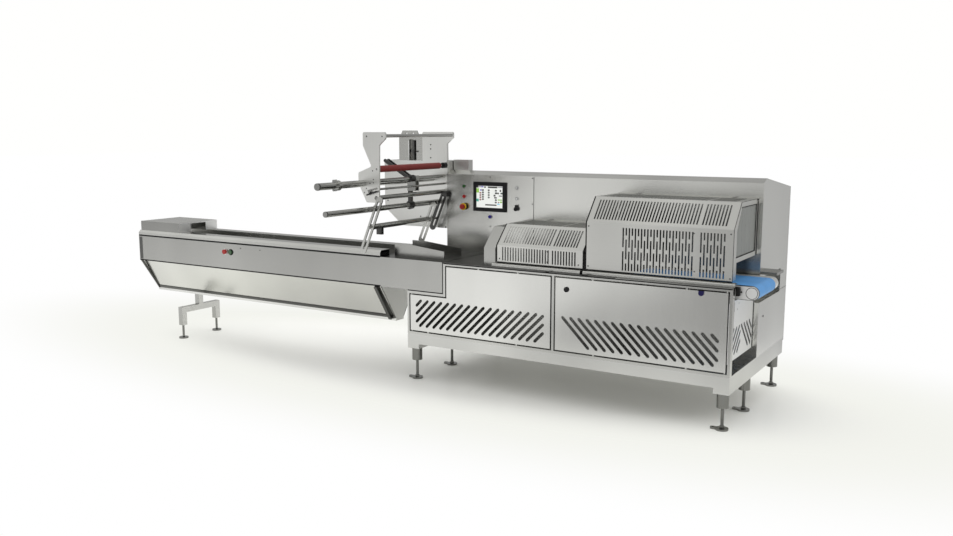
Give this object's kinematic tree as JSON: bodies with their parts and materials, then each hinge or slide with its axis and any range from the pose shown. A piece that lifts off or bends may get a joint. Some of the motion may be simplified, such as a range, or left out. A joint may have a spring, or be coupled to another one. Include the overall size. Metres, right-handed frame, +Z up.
{
  "type": "horizontal flow wrapper",
  "caption": "Long stainless wrapping machine: tapered infeed, film unwind, slotted cabinet with lifting guards, control wall and discharge belt.",
  "frame": {"origin": "on the floor, at the middle of the machine's outline", "axes": "+X along the product flow, from infeed to discharge; +Y from the operator side to the back; +Z up"},
  "size_m": [5.562, 2.085, 1.846],
  "materials": {
    "stainless": "brushed stainless sheet",
    "dark_steel": "dark worn steel",
    "black_plastic": "black moulded plastic",
    "display": "lit touch display",
    "green_plastic": "green lens",
    "red_plastic": "red button",
    "yellow_plastic": "yellow collar",
    "blue_plastic": "blue button",
    "chrome": "bright ring",
    "belt": "blue belting",
    "red_rubber": "red rubber roller",
    "window_pane": "grey clear sheet"
  },
  "bodies": {
    "machine": {"base_cross_beams": "stainless", "base_long_beams": "stainless", "black_controls": "black_plastic", "blue_button": "blue_plastic", "cabinet_floor": "stainless", "cabinet_left_end": "stainless", "cabinet_posts": "stainless", "cabinet_rails": "stainless", "cabinet_right_end": "stainless", "chrome_buttons": "chrome", "cross_roller": "stainless", "dancer_arm": "black_plastic", "deck_plate": "stainless", "deck_side_strips": "stainless", "discharge_belt": "belt", "discharge_frame": "stainless", "film_bars": "stainless", "film_bearings": "black_plastic", "film_housing": "stainless", "film_tower": "stainless", "forming_box": "stainless", "forming_table": "dark_steel", "front_film_plate": "stainless", "green_buttons": "green_plastic", "guard_end_hood": "stainless", "guard_rails": "stainless", "hinge_lugs": "stainless", "infeed_body": "stainless", "infeed_pan": "stainless", "infeed_rails": "stainless", "infeed_side_panels": "stainless", "infeed_stand": "stainless", "infeed_tail_box": "stainless", "infeed_trough": "dark_steel", "levelling_legs": "stainless", "lower_shaft": "stainless", "rear_film_arm": "black_plastic", "rear_film_plate": "stainless", "red_buttons": "red_plastic", "roof_box": "stainless", "slotted_arms": "stainless", "stop_collar": "yellow_plastic", "touch_display": "display", "touch_screen": "black_plastic", "wall_cabinet": "stainless"},
    "small_guard": {"small_guard_front": "stainless", "small_guard_slope": "stainless", "small_guard_top": "stainless"},
    "large_guard": {"large_guard_front": "stainless", "large_guard_slope": "stainless", "large_guard_top": "stainless", "large_guard_left_end": "stainless", "large_guard_right_end": "stainless", "large_guard_window": "window_pane"},
    "left_door": {"left_door": "stainless"},
    "right_door": {"right_door": "stainless", "door_latch": "black_plastic", "door_sensor": "blue_plastic"},
    "film_roller": {"film_roller": "red_rubber"},
    "reel_spindle": {"reel_spindle": "stainless"}
  },
  "joints": [
    {"name": "small_guard_lift", "type": "hinge", "parent": "machine", "child": "small_guard", "pos_m": [1.2805, 0.2895, 1.184], "axis": [-1, 0, 0], "range_deg": [0, 75]},
    {"name": "large_guard_lift", "type": "hinge", "parent": "machine", "child": "large_guard", "pos_m": [2.126, 0.2895, 1.404], "axis": [-1, 0, 0], "range_deg": [0, 75]},
    {"name": "left_door_swing", "type": "hinge", "parent": "machine", "child": "left_door", "pos_m": [0.26, -0.2845, 0.5], "axis": [0, 0, -1], "range_deg": [0, 110]},
    {"name": "right_door_swing", "type": "hinge", "parent": "machine", "child": "right_door", "pos_m": [2.611, -0.2845, 0.6], "axis": [0, 0, 1], "range_deg": [0, 110]},
    {"name": "film_roller_spin", "type": "hinge", "parent": "machine", "child": "film_roller", "pos_m": [0.154, -0.1, 1.575], "axis": [0, 1, 0], "continuous": true},
    {"name": "reel_spindle_spin", "type": "hinge", "parent": "machine", "child": "reel_spindle", "pos_m": [0.029, -0.4, 1.47], "axis": [0, 1, 0], "continuous": true}
  ]
}
